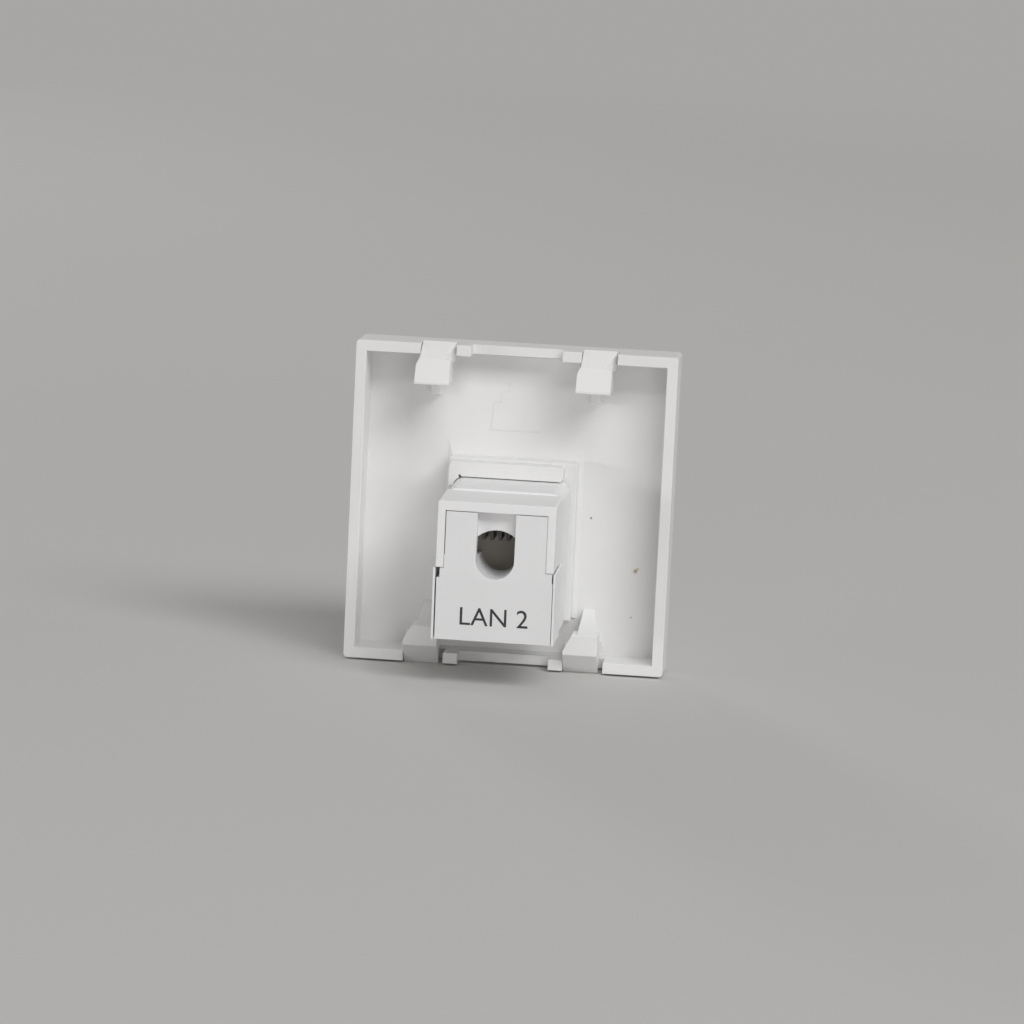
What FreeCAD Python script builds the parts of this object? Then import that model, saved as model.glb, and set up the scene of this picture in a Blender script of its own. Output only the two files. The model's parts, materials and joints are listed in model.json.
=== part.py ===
import FreeCAD, Part
import math
import os
import re

# Square data module for a wall plate, millimetres.
# The front face lies in the plane y = 0 and looks along -Y, +Z is up, and the jack reaches back along +Y.
# The origin is the middle of the front face.
DIMENSIONS = {
    # Tray
    "plate_side": 50.0,
    "tray_depth": 8.6,
    "tray_wall": 1.7,
    "face_thickness": 1.9,
    "bar_half": 7.1,
    "bar_drop": 3.4,
    "corner_radius": 0.6,
    "front_radius": 0.7,
    # Snap clips
    "clip_pitch": 25.0,
    "clip_slot": 6.25,
    "clip_slot_trim": 0.68,
    "clip_slot_depth": 4.0,
    "clip_width": 5.4,
    "clip_stem": 1.3,
    "head_reach": 6.1,
    "catch_proud": 0.3,
    "catch_drop": 1.6,
    "catch_land": 0.7,
    "catch_nose": 0.02,
    "upper_offset": 0.27,
    "upper_setback": 2.3,
    "upper_ridge": 0.8,
    "upper_proud": 2.6,
    "upper_nose": 0.4,
    "upper_bevel_width": 0.45,
    "upper_bevel_depth": 0.9,
    "catch_left": 0.5,
    "catch_right": 0.73,
    "ramp_left": 1.2,
    "ramp_right": 0.5,
    "rib_thickness": 1.5,
    "rib_height": 2.4,
    "rib_reach": 8.8,
    "rib_lean": 0.4,
    "lower_offset": 0.375,
    "lower_setback": 3.0,
    "lower_proud": 2.0,
    "lower_bevel_width": 1.3,
    "lower_bevel_depth": 2.6,
    "gusset_reach": 9.0,
    "gusset_stop": 0.3,
    "gusset_sink": 0.1,
    "gusset_foot_left": 1.3,
    "gusset_foot_right": 0.4,
    "gusset_head_left": 2.5,
    "gusset_head_right": 0.6,
    # Jack tower on the tray floor
    "tower_half": 10.0,
    "tower_top": 7.2,
    "tower_bottom": 17.6,
    "tower_height": 3.7,
    "plinth_margin": 0.7,
    "plinth_foot": 0.2,
    "plinth_rise": 2.4,
    "plinth_height": 0.4,
    "throat_half": 7.4,
    "throat_top": 4.6,
    "throat_bottom": 12.4,
    "tab_left": 8.15,
    "tab_right": 9.7,
    "tab_thickness": 2.3,
    "tab_hook": 1.4,
    "tab_hook_inset": 1.6,
    "seam_half": 7.3,
    "seam_height": 0.02,
    "seam_end": 8.0,
    "seam_end_radius": 0.2,
    "seam_end_depth": 1.6,
    # Jack body
    "slip_gap": 0.1,
    "seat_gap": 0.4,
    "neck_recess": 0.3,
    "jack_half": 9.0,
    "jack_bottom": 17.9,
    "jack_length": 21.6,
    "shoulder_length": 12.1,
    "body_draft": 0.3,
    "shoulder_drop": 0.3,
    "frame_draft": 0.3,
    "frame_side": 1.2,
    "frame_roof": 1.45,
    "frame_drop": 6.6,
    "jack_floor": 1.0,
    "pocket_start": 7.2,
    "cheek_thickness": 0.35,
    "cheek_start": 11.3,
    "body_radius": 1.8,
    "frame_radius": 0.4,
    "rear_lean": 0.7,
    "lean_drop": 8.2,
    # Plug socket
    "socket_half": 5.95,
    "socket_top": 0.2,
    "socket_height": 6.8,
    "socket_end": 6.4,
    "key_half": 3.1,
    "key_height": 1.5,
    "hook_half": 1.9,
    "hook_height": 1.3,
    # Spring contacts and their carrier
    "carrier_half": 5.3,
    "carrier_height": 3.1,
    "carrier_front": 2.8,
    "contact_pitch": 1.016,
    "contact_wire": 0.35,
    "contact_drop": 1.6,
    "contact_bend": 0.75,
    "contact_reach": 1.8,
    "contact_tip": 5.5,
    "contact_slope": 20.0,
    "groove_width": 0.55,
    # Board, comb block and wire blades
    "board_thickness": 1.6,
    "base_thickness": 1.6,
    "comb_pitch": 1.25,
    "comb_gap": 0.75,
    "comb_top": 1.8,
    "comb_drop": 3.0,
    "comb_depth": 4.8,
    "blade_width": 0.66,
    "blade_thickness": 0.4,
    "blade_length": 5.6,
    "blade_slit": 0.24,
    "blade_slit_depth": 2.2,
    "blade_stagger": 1.8,
    # Wire cap
    "cap_gap": 0.13,
    "cap_close": 0.05,
    "cap_key_height": 2.0,
    "cheek_gap": 0.22,
    "cheek_close": 0.08,
    "shoulder_gap": 0.1,
    "travel_gap": 0.3,
    "cap_plate": 1.7,
    "cap_skirt": 1.1,
    "cap_corner_left": 0.15,
    "cap_corner_right": 0.45,
    "cap_corner_height": 1.5,
    "entry_radius": 2.93,
    "entry_drop": 5.1,
    "arch_radius": 4.35,
    "trough_wall": 0.95,
    "trough_length": 7.4,
}
CONTACTS = 8
BOTH_SIDES = (-1, 1)
TOUCH = 1e-6

# Planes worked out from the dimensions above.
RIM = "tray_depth"
FLOOR = "face_thickness"
EDGE = "plate_side / 2"
TOWER_REAR = "(face_thickness + tower_height)"
JACK_TOP = "(throat_top - slip_gap)"
BODY_FRONT = "(face_thickness + tower_height + seat_gap)"
SHOULDER = f"({BODY_FRONT} + shoulder_length)"
JACK_REAR = f"({BODY_FRONT} + jack_length)"
BODY_TOP = f"({JACK_TOP} - body_draft)"
FRAME_TOP = f"({BODY_TOP} - shoulder_drop - frame_draft)"
POCKET_HALF = "(jack_half - frame_side)"
POCKET_TOP = f"({FRAME_TOP} - frame_roof)"
POCKET_FLOOR = "(jack_floor - jack_bottom)"
BOARD_FRONT = f"({BODY_FRONT} + pocket_start)"
BOARD_REAR = f"({BOARD_FRONT} + board_thickness)"
BASE_REAR = f"({BOARD_REAR} + base_thickness)"
COMB_REAR = f"({BASE_REAR} + comb_depth)"
CAP_INNER = f"({JACK_REAR} - cap_plate)"
CAP_SIDES = {-1: "(jack_half - cheek_close)", 1: "(jack_half - cheek_gap)"}
CAP_SHOULDER = "(-frame_drop - shoulder_gap)"
CARRIER_BOTTOM = "(socket_top + slip_gap)"
CARRIER_TOP = f"({CARRIER_BOTTOM} + carrier_height)"
CONTACT_RUN = f"({CARRIER_TOP} - contact_drop)"
OVERLAP = "0.5"
PAST = "1"
SLIVER = "0.01"

doc = FreeCAD.newDocument("socket_module")
sheet = doc.addObject("Spreadsheet::Sheet", "dims")
for row, (alias, size) in enumerate(DIMENSIONS.items(), start=1):
    sheet.set(f"A{row}", alias)
    sheet.set(f"B{row}", str(size))
    sheet.setAlias(f"B{row}", alias)
doc.recompute()


def value(alias):
    """Return a dimension from the sheet as a number."""
    return float(sheet.get(alias))


def bind(item, prop, formula):
    """Tie a property to a formula of sheet dimensions."""
    item.setExpression(prop, re.sub(r"\b[a-z][a-z_]+\b", r"dims.\g<0>", formula))


def block(name, x_range, y_range, z_range):
    """Make a box between two formulas on each axis."""
    item = doc.addObject("Part::Box", name)
    for prop, axis, (low, high) in (
        ("Length", "x", x_range),
        ("Width", "y", y_range),
        ("Height", "z", z_range),
    ):
        bind(item, prop, f"({high}) - ({low})")
        bind(item, f"Placement.Base.{axis}", low)
    return item


def centred(half):
    """Return the range from minus half to plus half."""
    return (f"-({half})", f"{half}")


def mirrored(side, low, high):
    """Return a range on the positive or negative side of a middle plane."""
    return (low, high) if side > 0 else (f"-({high})", f"-({low})")


def rod(name, radius, y_range, z_place, x_place="0"):
    """Make a cylinder along Y."""
    item = doc.addObject("Part::Cylinder", name)
    item.Placement.Rotation = FreeCAD.Rotation(FreeCAD.Vector(1, 0, 0), -90)
    bind(item, "Radius", radius)
    bind(item, "Height", f"({y_range[1]}) - ({y_range[0]})")
    bind(item, "Placement.Base.x", x_place)
    bind(item, "Placement.Base.y", y_range[0])
    bind(item, "Placement.Base.z", z_place)
    return item


def wedge(name, y_range, front_x, front_z, rear_x, rear_z):
    """Make a block whose rectangle changes from the front plane to the rear plane."""
    item = doc.addObject("Part::Wedge", name)
    bind(item, "Ymin", y_range[0])
    bind(item, "Ymax", y_range[1])
    for prefix, (x_range, z_range) in (("", (front_x, front_z)), ("2", (rear_x, rear_z))):
        bind(item, f"X{prefix}min", x_range[0])
        bind(item, f"X{prefix}max", x_range[1])
        bind(item, f"Z{prefix}min", z_range[0])
        bind(item, f"Z{prefix}max", z_range[1])
    return item


def joined(name, items):
    """Fuse several solids into one."""
    result = doc.addObject("Part::MultiFuse", name)
    result.Shapes = items
    result.Refine = True
    return result


def without(name, base, tools):
    """Cut the tools out of a solid."""
    result = doc.addObject("Part::Cut", name)
    result.Base = base
    result.Tool = tools[0] if len(tools) == 1 else joined(f"{name}_tools", tools)
    result.Refine = True
    return result


def softened(name, base, alias, chosen):
    """Round the edges of a solid that a test on the edge picks."""
    doc.recompute()
    radius = value(alias)
    result = doc.addObject("Part::Fillet", name)
    result.Base = base
    result.Edges = [(n, radius, radius) for n, edge in enumerate(base.Shape.Edges, start=1) if chosen(edge)]
    return result


def bevelled(name, base, aliases, chosen):
    """Cut the edges of a solid that a test picks back by two different widths."""
    doc.recompute()
    result = doc.addObject("Part::Chamfer", name)
    result.Base = base
    widths = [value(alias) for alias in aliases]
    result.Edges = [(n, *widths) for n, edge in enumerate(base.Shape.Edges, start=1) if chosen(edge)]
    return result


def along(edge, axis, slack=TOUCH):
    """Tell whether an edge is straight along one axis, or nearly so when some slack is given."""
    if not isinstance(edge.Curve, Part.Line):
        return False
    return abs(abs(edge.tangentAt(edge.FirstParameter).dot(axis)) - 1) < slack


AXIS_Y = FreeCAD.Vector(0, 1, 0)
DRAFT_SLACK = 0.01


# Tray with rounded corners, wall recesses and clip slots
def make_shell():
    outer = block("tray_outer", centred(EDGE), ("0", RIM), centred(EDGE))
    half = value("plate_side") / 2

    def at_corner(edge):
        middle = edge.CenterOfMass
        return along(edge, AXIS_Y) and abs(abs(middle.x) - half) < TOUCH

    def on_front(edge):
        return abs(edge.BoundBox.YMax) < TOUCH

    rounded = softened("tray_corners", outer, "corner_radius", at_corner)
    faced = softened("tray_front", rounded, "front_radius", on_front)
    inside = f"({EDGE} - tray_wall)"
    hollow = block("tray_hollow", centred(inside), (FLOOR, f"{RIM} + {PAST}"), centred(inside))
    tools = [hollow]
    for side in BOTH_SIDES:
        tag = "top" if side > 0 else "bottom"
        reach = mirrored(side, f"{inside} - {SLIVER}", f"{EDGE} + {PAST}")
        drop = (f"{RIM} - bar_drop", f"{RIM} + {PAST}")
        tools.append(block(f"bar_recess_{tag}", centred("bar_half"), drop, reach))
        for hand in BOTH_SIDES:
            middle = f"({hand} * clip_pitch / 2)"
            trim = "clip_slot_trim" if side > 0 else "0"
            span = (f"{middle} - clip_slot / 2", f"{middle} + clip_slot / 2 - {trim}")
            deep = (f"{RIM} - clip_slot_depth", f"{RIM} + {PAST}")
            tools.append(block(f"clip_slot_{tag}_{hand + 1}", span, deep, reach))
    return without("tray_shell", faced, tools)


# Snap clips: a stem from the floor carries a head with a ramp down to the catch that leaves the slot
def make_clip_stem(name, side, width, setback, catch_width):
    """Return the stem and the flat land of the catch, which both kinds of clip share."""
    outer = f"({EDGE} - {setback})"
    catch_plane = f"({RIM} - catch_drop)"
    catch_front = f"({catch_plane} - catch_land)"
    stem = block(
        f"{name}_stem",
        width,
        (f"{FLOOR} - {OVERLAP}", f"{catch_front} + {OVERLAP}"),
        mirrored(side, f"{outer} - clip_stem", outer),
    )
    land = block(
        f"{name}_land",
        catch_width,
        (catch_front, catch_plane),
        mirrored(side, f"{outer} - {OVERLAP}", f"{EDGE} + catch_proud"),
    )
    return [stem, land]


def make_ramp(name, side, setback, ridge, catch_width, ridge_width):
    """Return the ramp that rises from the catch to the ridge of the head."""
    root = f"{EDGE} - {setback} - {OVERLAP}"
    return wedge(
        f"{name}_ramp",
        (f"{RIM} - catch_drop", ridge),
        catch_width,
        mirrored(side, root, f"{EDGE} + catch_proud"),
        ridge_width,
        mirrored(side, root, f"{EDGE} - {setback} + catch_nose"),
    )


def make_upper_clip(name, hand):
    """Make a clip whose head leans back from the ridge and whose ramp narrows on its -X side."""
    middle = f"({hand} * clip_pitch / 2 + upper_offset)"
    left = f"({middle} - clip_width / 2)"
    right = f"({middle} + clip_width / 2)"
    width = (left, right)
    inner = f"{EDGE} - head_reach"
    outer = f"{EDGE} - upper_setback"
    ridge = f"({RIM} + upper_ridge)"
    low_head = block(
        f"{name}_low_head",
        width,
        (f"{RIM} - catch_drop - catch_land", ridge),
        (inner, outer),
    )
    lean = wedge(
        f"{name}_lean",
        (ridge, f"{RIM} + upper_proud"),
        width,
        (inner, outer),
        width,
        (inner, f"{inner} + upper_nose"),
    )
    head = joined(f"{name}_head", [low_head, lean])

    def outer_corner(edge):
        box = head.Shape.BoundBox
        middle = edge.CenterOfMass
        return along(edge, AXIS_Y) and middle.x > box.Center.x and middle.z > box.Center.z

    shaped = bevelled(f"{name}_bevel", head, ("upper_bevel_width", "upper_bevel_depth"), outer_corner)
    catch_width = (f"{left} - catch_left", f"{right} - catch_right")
    ridge_width = (f"{left} + ramp_left", f"{right} - ramp_right")
    ramp = make_ramp(name, 1, "upper_setback", ridge, catch_width, ridge_width)
    rib_width = (f"{middle} - rib_thickness / 2", f"{middle} + rib_thickness / 2")
    rib_root = f"{outer} - clip_stem / 2"
    rib = wedge(
        f"{name}_rib",
        (f"{FLOOR} - {OVERLAP}", f"{FLOOR} + rib_height"),
        rib_width,
        (f"{EDGE} - rib_reach", rib_root),
        rib_width,
        (f"{EDGE} - rib_reach + rib_lean", rib_root),
    )
    return joined(name, [shaped, ramp, rib, *make_clip_stem(name, 1, width, "upper_setback", catch_width)])


def make_lower_clip(name, hand):
    """Make a clip with a flat head, a bevelled inner corner and a gusset that flares up to the head."""
    middle = f"({hand} * clip_pitch / 2 + lower_offset)"
    width = (f"{middle} - clip_width / 2", f"{middle} + clip_width / 2")
    inner = f"{EDGE} - head_reach"
    outer = f"{EDGE} - lower_setback"
    rear = f"({RIM} + lower_proud)"
    head = block(
        f"{name}_head",
        width,
        (f"{RIM} - catch_drop - catch_land", rear),
        mirrored(-1, inner, outer),
    )

    def inner_corner(edge):
        box = head.Shape.BoundBox
        middle = edge.CenterOfMass
        return along(edge, AXIS_Y) and middle.x > box.Center.x and middle.z > box.Center.z

    shaped = bevelled(f"{name}_bevel", head, ("lower_bevel_depth", "lower_bevel_width"), inner_corner)
    ramp = make_ramp(name, -1, "lower_setback", rear, width, width)
    gusset_root = f"{outer} - clip_stem / 2"
    gusset = wedge(
        f"{name}_gusset",
        (f"{FLOOR} - {OVERLAP}", f"{rear} - gusset_stop"),
        (f"{middle} - gusset_foot_left", f"{middle} + gusset_foot_right"),
        mirrored(-1, f"{EDGE} - gusset_reach", gusset_root),
        (f"{middle} - gusset_head_left", f"{middle} + gusset_head_right"),
        mirrored(-1, f"{inner} + gusset_sink", gusset_root),
    )
    return joined(name, [shaped, ramp, gusset, *make_clip_stem(name, -1, width, "lower_setback", width)])


# Tower that carries the jack: plinth, walls round the throat and a tab above the jack
def make_tower():
    base = f"{FLOOR} - {OVERLAP}"
    plinth = wedge(
        "plinth",
        (FLOOR, f"{FLOOR} + plinth_height"),
        centred("tower_half + plinth_margin"),
        ("-tower_bottom - plinth_foot", "tower_top + plinth_rise"),
        centred("tower_half"),
        ("-tower_bottom", "tower_top"),
    )
    walls = block("tower_walls", centred("tower_half"), (base, TOWER_REAR), ("-tower_bottom", "tower_top"))
    tab = block(
        "tower_tab",
        ("-tab_left", "tab_right"),
        (f"{TOWER_REAR} - {OVERLAP}", RIM),
        ("throat_top", "throat_top + tab_thickness"),
    )
    hook = block(
        "tower_hook",
        ("tab_right - tab_hook_inset", "tab_right"),
        (f"{TOWER_REAR} - {OVERLAP}", RIM),
        ("throat_top - tab_hook", "throat_top + tab_thickness / 2"),
    )
    corner_room = rod(
        "hook_room",
        "body_radius + slip_gap",
        (f"{TOWER_REAR} - {PAST}", f"{RIM} + {PAST}"),
        f"{JACK_TOP} - body_radius",
        "jack_half - body_radius",
    )

    def at_tab_end(edge):
        return along(edge, AXIS_Y)

    rounded = softened("tower_tab_round", tab, "corner_radius", at_tab_end)
    return [plinth, walls, rounded, without("tower_hook_round", hook, [corner_room])]


def make_module_plate():
    solids = [make_shell()]
    for hand in BOTH_SIDES:
        end = "right" if hand > 0 else "left"
        solids.append(make_upper_clip(f"clip_top_{end}", hand))
        solids.append(make_lower_clip(f"clip_bottom_{end}", hand))
    solids += make_tower()
    whole = joined("module_solid", solids)
    throat = block(
        "throat",
        centred("throat_half"),
        (f"-{PAST}", f"{TOWER_REAR} + {SLIVER}"),
        ("-throat_bottom", "throat_top"),
    )
    seam = block(
        "tab_seam",
        centred("seam_half"),
        (TOWER_REAR, f"{RIM} + {PAST}"),
        ("throat_top - slip_gap", "throat_top + seam_height"),
    )
    tools = [throat, seam]
    for side in BOTH_SIDES:
        tools.append(
            rod(
                f"seam_end_{side + 1}",
                "seam_end_radius",
                (f"{RIM} - seam_end_depth", f"{RIM} + {PAST}"),
                "throat_top + seam_end_radius / 2",
                f"{side} * seam_end",
            )
        )
    return without("module_plate", whole, tools)


# Slope of the rear face below the cable entry, shared by the jack and its cap
def make_lean(name):
    width = centred(f"jack_half + {PAST}")
    low = f"-jack_bottom - {PAST}"
    return wedge(
        name,
        (f"{JACK_REAR} - rear_lean", f"{JACK_REAR} + rear_lean"),
        width,
        (low, "-jack_bottom"),
        width,
        (low, "jack_bottom - 2 * lean_drop"),
    )


# Jack body: neck with the plug socket, wide body, rear frame and side cheeks
def make_jack_body():
    neck = block(
        "neck",
        centred("throat_half - slip_gap"),
        ("neck_recess", f"{BODY_FRONT} + {OVERLAP}"),
        ("slip_gap - throat_bottom", "throat_top - slip_gap"),
    )
    width = centred("jack_half")
    body = wedge(
        "body",
        (BODY_FRONT, SHOULDER),
        width,
        ("-jack_bottom", JACK_TOP),
        width,
        ("-jack_bottom", BODY_TOP),
    )
    frame = wedge(
        "frame",
        (f"{SHOULDER} - {OVERLAP}", JACK_REAR),
        width,
        ("-frame_drop", f"{FRAME_TOP} + frame_draft"),
        width,
        ("-frame_drop", FRAME_TOP),
    )
    half = value("jack_half")

    def at_top_corner(edge):
        middle = edge.CenterOfMass
        return along(edge, AXIS_Y, DRAFT_SLACK) and abs(abs(middle.x) - half) < TOUCH and middle.z > 0

    solids = [neck]
    for item, radius in ((body, "body_radius"), (frame, "frame_radius")):
        solids.append(softened(f"{item.Name}_round", item, radius, at_top_corner))
    for side in BOTH_SIDES:
        solids.append(
            block(
                f"cheek_{side + 1}",
                mirrored(side, f"jack_half - {OVERLAP}", "jack_half + cheek_thickness"),
                (f"{BODY_FRONT} + cheek_start", JACK_REAR),
                ("-jack_bottom", "-frame_drop - slip_gap"),
            )
        )
    whole = joined("jack_solid", solids)
    socket_floor = "(socket_top - socket_height)"
    socket_span = (f"-{PAST}", f"{BODY_FRONT} + socket_end")
    socket = block("socket", centred("socket_half"), socket_span, (socket_floor, "socket_top"))
    key = block("socket_key", centred("key_half"), socket_span, (f"{socket_floor} - key_height", "socket_top"))
    hook = block(
        "socket_hook",
        centred("hook_half"),
        socket_span,
        (f"{socket_floor} - key_height - hook_height", "socket_top"),
    )
    carrier_seat = block(
        "carrier_seat",
        centred("carrier_half + slip_gap"),
        ("carrier_front - slip_gap", f"{BOARD_FRONT} + {SLIVER}"),
        (f"socket_top - {SLIVER}", CARRIER_TOP),
    )
    pocket = block(
        "pocket",
        centred(POCKET_HALF),
        (BOARD_FRONT, f"{JACK_REAR} + {PAST}"),
        (POCKET_FLOOR, POCKET_TOP),
    )
    cap_room = block(
        "cap_room",
        centred("jack_half"),
        (SHOULDER, f"{JACK_REAR} + {PAST}"),
        (f"-jack_bottom - {PAST}", "-frame_drop"),
    )
    lean = make_lean("cheek_lean")
    return without("jack_body", whole, [socket, key, hook, carrier_seat, pocket, cap_room, lean])


# Grooved block above the plug socket
def make_contact_carrier():
    body = block(
        "carrier",
        centred("carrier_half"),
        ("carrier_front", BOARD_FRONT),
        (CARRIER_BOTTOM, CARRIER_TOP),
    )
    grooves = []
    for number in range(CONTACTS):
        middle = f"({number - (CONTACTS - 1) / 2} * contact_pitch)"
        grooves.append(
            block(
                f"groove_{number + 1}",
                (f"{middle} - groove_width / 2", f"{middle} + groove_width / 2"),
                (f"carrier_front - {PAST}", f"{BOARD_FRONT} + {PAST}"),
                (f"{CARRIER_BOTTOM} - {PAST}", f"{CONTACT_RUN} + contact_wire / 2"),
            )
        )
    return without("contact_carrier", body, grooves)


def make_circuit_board():
    return block(
        "circuit_board",
        centred(f"{POCKET_HALF} - slip_gap"),
        (BOARD_FRONT, BOARD_REAR),
        (POCKET_FLOOR, f"{POCKET_TOP} - slip_gap"),
    )


def comb_place(number):
    """Return the middle of a comb gap along X as a formula."""
    return f"({number - (CONTACTS - 1) / 2} * comb_pitch)"


def blade_level(number):
    """Return the height of a blade's lower face, staggered from gap to gap, as a formula."""
    middle = "((comb_top - comb_drop) / 2)"
    offset = "blade_stagger / 2" if number % 2 else "-(blade_stagger / 2)"
    return f"({middle} + {offset} - blade_thickness / 2)"


# Comb block: base plate with a comb of wire gaps
def make_idc_block():
    half = f"{POCKET_HALF} - slip_gap"
    base = block("idc_base", centred(half), (BOARD_REAR, BASE_REAR), (POCKET_FLOOR, f"{POCKET_TOP} - slip_gap"))
    comb = block("comb", centred(half), (f"{BASE_REAR} - {OVERLAP}", COMB_REAR), ("-comb_drop", "comb_top"))
    tools = []
    for number in range(CONTACTS):
        middle = comb_place(number)
        level = blade_level(number)
        tools.append(
            block(
                f"comb_gap_{number + 1}",
                (f"{middle} - comb_gap / 2", f"{middle} + comb_gap / 2"),
                (BASE_REAR, f"{COMB_REAR} + {PAST}"),
                (f"-comb_drop - {PAST}", f"comb_top + {PAST}"),
            )
        )
        tools.append(
            block(
                f"blade_hole_{number + 1}",
                (f"{middle} - blade_width / 2", f"{middle} + blade_width / 2"),
                (f"{BOARD_REAR} - {PAST}", f"{BASE_REAR} + {SLIVER}"),
                (level, f"{level} + blade_thickness"),
            )
        )
    return without("idc_block", joined("idc_solid", [base, comb]), tools)


# Forked blade that bites one wire
def make_blade(number):
    middle = comb_place(number)
    level = blade_level(number)
    rear = f"({BOARD_REAR} + blade_length)"
    plate = block(
        f"blade_plate_{number + 1}",
        (f"{middle} - blade_width / 2", f"{middle} + blade_width / 2"),
        (BOARD_REAR, rear),
        (level, f"{level} + blade_thickness"),
    )
    slit = block(
        f"blade_slit_{number + 1}",
        (f"{middle} - blade_slit / 2", f"{middle} + blade_slit / 2"),
        (f"{rear} - blade_slit_depth", f"{rear} + {PAST}"),
        (f"{level} - {PAST}", f"{level} + blade_thickness + {PAST}"),
    )
    return without(f"idc_blade_{number + 1}", plate, [slit])


# Wire cap: plate with shoulders, skirt, presser arch, cable trough and U-shaped entry
def make_wire_cap():
    upper = block(
        "cap_upper",
        (f"cap_close - {POCKET_HALF}", f"{POCKET_HALF} - cap_gap"),
        (CAP_INNER, JACK_REAR),
        (f"{CAP_SHOULDER} - {OVERLAP}", f"{POCKET_TOP} - cap_gap"),
    )
    key = block(
        "cap_key",
        (f"{POCKET_HALF} - cap_gap - {OVERLAP}", f"{POCKET_HALF} - cap_close"),
        (CAP_INNER, JACK_REAR),
        (f"{CAP_SHOULDER} - {OVERLAP}", "cap_key_height - frame_drop"),
    )
    cap_bottom = "(slip_gap - jack_bottom)"
    skirt_front = f"({SHOULDER} + travel_gap)"
    right, left = CAP_SIDES[-1], CAP_SIDES[1]
    lower = block("cap_lower", (f"-{right}", left), (skirt_front, JACK_REAR), (cap_bottom, CAP_SHOULDER))
    room = block(
        "cap_lower_room",
        (f"cap_skirt - {right}", f"{left} - cap_skirt"),
        (f"{skirt_front} - {PAST}", CAP_INNER),
        (f"{cap_bottom} + cap_skirt", f"{CAP_SHOULDER} + {PAST}"),
    )
    presser_front = f"({COMB_REAR} + travel_gap)"
    presser = block(
        "presser",
        centred(f"{POCKET_HALF} - cap_gap - slip_gap"),
        (presser_front, f"{CAP_INNER} + {OVERLAP}"),
        ("-entry_drop", f"{POCKET_TOP} - cap_gap - slip_gap"),
    )
    arch = rod("arch", "arch_radius", (f"{presser_front} - {PAST}", CAP_INNER), "-entry_drop")
    trough_span = (f"{CAP_INNER} - trough_length", f"{CAP_INNER} + {OVERLAP}")
    pipe = rod("trough_pipe", "entry_radius + trough_wall", trough_span, "-entry_drop")
    pipe_top = block(
        "trough_top",
        centred(f"entry_radius + trough_wall + {PAST}"),
        (f"{trough_span[0]} - {PAST}", f"{trough_span[1]} + {PAST}"),
        ("-entry_drop", f"-entry_drop + entry_radius + trough_wall + {PAST}"),
    )
    bore_span = (f"{trough_span[0]} - {PAST}", f"{JACK_REAR} + {PAST}")
    bore = rod("entry_bore", "entry_radius", bore_span, "-entry_drop")
    slot = block(
        "entry_slot",
        centred("entry_radius"),
        (CAP_INNER, f"{JACK_REAR} + {PAST}"),
        ("-entry_drop", f"{POCKET_TOP} + {PAST}"),
    )
    tools = [bore, slot, make_lean("cap_lean")]
    for side in BOTH_SIDES:
        corner = "cap_corner_right" if side > 0 else "cap_corner_left"
        tools.append(
            block(
                f"cap_corner_{side + 1}",
                mirrored(side, f"{CAP_SIDES[side]} - {corner}", f"{CAP_SIDES[side]} + {PAST}"),
                (f"{skirt_front} - {PAST}", f"{JACK_REAR} + {PAST}"),
                (f"{CAP_SHOULDER} - cap_corner_height", f"{CAP_SHOULDER} + {PAST}"),
            )
        )
    hollow_lower = without("cap_lower_shell", lower, [room])
    solid = joined(
        "cap_solid",
        [upper, key, hollow_lower, without("presser_arch", presser, [arch]), without("trough", pipe, [pipe_top])],
    )
    return without("wire_cap", solid, tools)


# Spring contact: straight run in its groove, round bend at the front, tip sloping back into the socket
def contact_shape():
    run_height = value("socket_top") + value("slip_gap") + value("carrier_height") - value("contact_drop")
    tail = value("face_thickness") + value("tower_height") + value("seat_gap") + value("pocket_start")
    half = value("contact_wire") / 2
    bend = value("contact_bend")
    bend_y = value("carrier_front") + value("contact_reach")
    top = math.radians(90)
    turn = 3 * top - math.radians(value("contact_slope"))
    centre = FreeCAD.Vector(-half, bend_y, run_height - bend)
    tip = FreeCAD.Vector(0, -math.sin(turn), math.cos(turn)) * value("contact_tip")

    def on_arc(radius, angle):
        return centre + FreeCAD.Vector(0, math.cos(angle), math.sin(angle)) * radius

    outlines = []
    for radius in (bend + half, bend - half):
        start = on_arc(radius, top)
        middle = on_arc(radius, (top + turn) / 2)
        end = on_arc(radius, turn)
        outlines.append((FreeCAD.Vector(-half, tail, start.z), start, middle, end, end + tip))
    outer, inner = outlines
    edges = []
    for tail_end, start, middle, end, tip_end in outlines:
        edges.append(Part.LineSegment(tail_end, start).toShape())
        edges.append(Part.Arc(start, middle, end).toShape())
        edges.append(Part.LineSegment(end, tip_end).toShape())
    edges.append(Part.LineSegment(outer[0], inner[0]).toShape())
    edges.append(Part.LineSegment(outer[4], inner[4]).toShape())
    face = Part.Face(Part.Wire(Part.__sortEdges__(edges)))
    return face.extrude(FreeCAD.Vector(2 * half, 0, 0))


def make_contact(number, shape):
    item = doc.addObject("Part::Feature", f"contact_pin_{number + 1}")
    item.Shape = shape.copy()
    across = (number - (CONTACTS - 1) / 2) * value("contact_pitch")
    item.Placement = FreeCAD.Placement(FreeCAD.Vector(across, 0, 0), FreeCAD.Rotation())
    return item


nodes = [
    make_module_plate(),
    make_jack_body(),
    make_contact_carrier(),
    make_circuit_board(),
    make_idc_block(),
    make_wire_cap(),
]
spring = contact_shape()
for number in range(CONTACTS):
    nodes.append(make_contact(number, spring))
    nodes.append(make_blade(number))
doc.recompute()

for item in doc.Objects:
    if "Invalid" in item.State or "Error" in item.State:
        raise RuntimeError(f"{item.Name} failed: {item.State}")
for item in nodes:
    item.Label = item.Name
    if item.Shape.isNull() or not item.Shape.isValid():
        raise RuntimeError(f"{item.Name} has no valid shape")
    if len(item.Shape.Solids) != 1:
        raise RuntimeError(f"{item.Name} has {len(item.Shape.Solids)} solids")

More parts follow.
